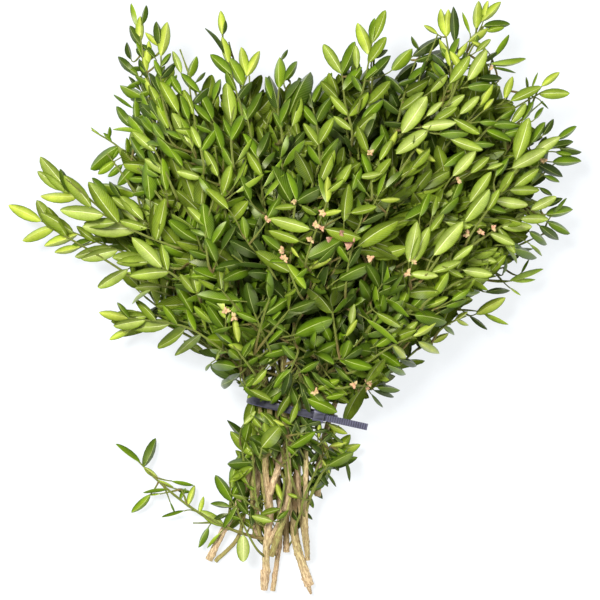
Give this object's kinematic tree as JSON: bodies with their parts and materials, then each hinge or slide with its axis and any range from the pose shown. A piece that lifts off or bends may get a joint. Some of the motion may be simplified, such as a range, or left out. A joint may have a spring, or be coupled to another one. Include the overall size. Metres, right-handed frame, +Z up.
{
  "type": "boxwood bunch",
  "caption": "Bunch of cut boxwood stems lying down, leafy shoots fanned out above a black cable tie and bare cut ends below it.",
  "frame": {"origin": "on the surface it lies on, under the middle of the cable tie's strap", "axes": "+Y from the cut ends towards the leafy tips, +Z up from the surface, +X to the right of the bunch seen from above with the tips away from the viewer"},
  "size_m": [0.3498, 0.3621, 0.0878],
  "materials": {
    "bark": "rough",
    "leaf_upper": "satin",
    "leaf_under": "satin",
    "tie_plastic": "satin"
  },
  "bodies": {
    "root": {"stem_forked": "bark", "stem_lower_middle": "bark", "stem_thick_right": "bark", "stem_right": "bark", "stem_left": "bark", "stem_stub": "bark", "stem_lower_left": "bark", "stem_lower_right": "bark", "stem_far_right": "bark", "stem_thin_left": "bark", "stem_thin_middle": "bark", "cable_tie": "tie_plastic", "leafy_shoot_01": "leaf_under", "leafy_shoot_02": "leaf_under", "leafy_shoot_03": "leaf_upper", "leafy_shoot_04": "leaf_upper", "leafy_shoot_05": "leaf_under", "leafy_shoot_06": "leaf_under", "leafy_shoot_07": "leaf_upper", "leafy_shoot_08": "leaf_under", "leafy_shoot_09": "leaf_upper", "leafy_shoot_10": "leaf_under", "leafy_shoot_11": "leaf_upper", "leafy_shoot_12": "leaf_upper", "leafy_shoot_13": "leaf_upper", "leafy_shoot_14": "leaf_under", "leafy_shoot_15": "leaf_upper", "leafy_shoot_16": "leaf_upper", "leafy_shoot_17": "leaf_upper", "leafy_shoot_18": "leaf_under", "leafy_shoot_19": "leaf_upper", "leafy_shoot_20": "leaf_under", "leafy_shoot_21": "leaf_under", "leafy_shoot_22": "leaf_under", "leafy_shoot_23": "leaf_under", "leafy_shoot_24": "leaf_under", "leafy_shoot_25": "leaf_under", "leafy_shoot_26": "leaf_upper", "leafy_shoot_27": "leaf_under", "leafy_shoot_28": "leaf_under", "leafy_shoot_29": "leaf_under", "leafy_shoot_30": "leaf_upper", "leafy_shoot_31": "leaf_upper", "leafy_shoot_32": "leaf_under", "leafy_shoot_33": "leaf_under", "leafy_shoot_34": "leaf_upper", "leafy_shoot_35": "leaf_upper", "leafy_shoot_36": "leaf_under", "leafy_shoot_37": "leaf_upper", "leafy_shoot_38": "leaf_under", "leafy_shoot_39": "leaf_under", "leafy_shoot_40": "leaf_under", "leafy_shoot_41": "leaf_upper", "leafy_shoot_42": "leaf_upper", "leafy_shoot_43": "leaf_under", "leafy_shoot_44": "leaf_upper", "leafy_shoot_45": "leaf_upper", "leafy_shoot_46": "leaf_upper", "leafy_shoot_47": "leaf_upper", "leafy_shoot_48": "leaf_upper"}
  },
  "joints": []
}
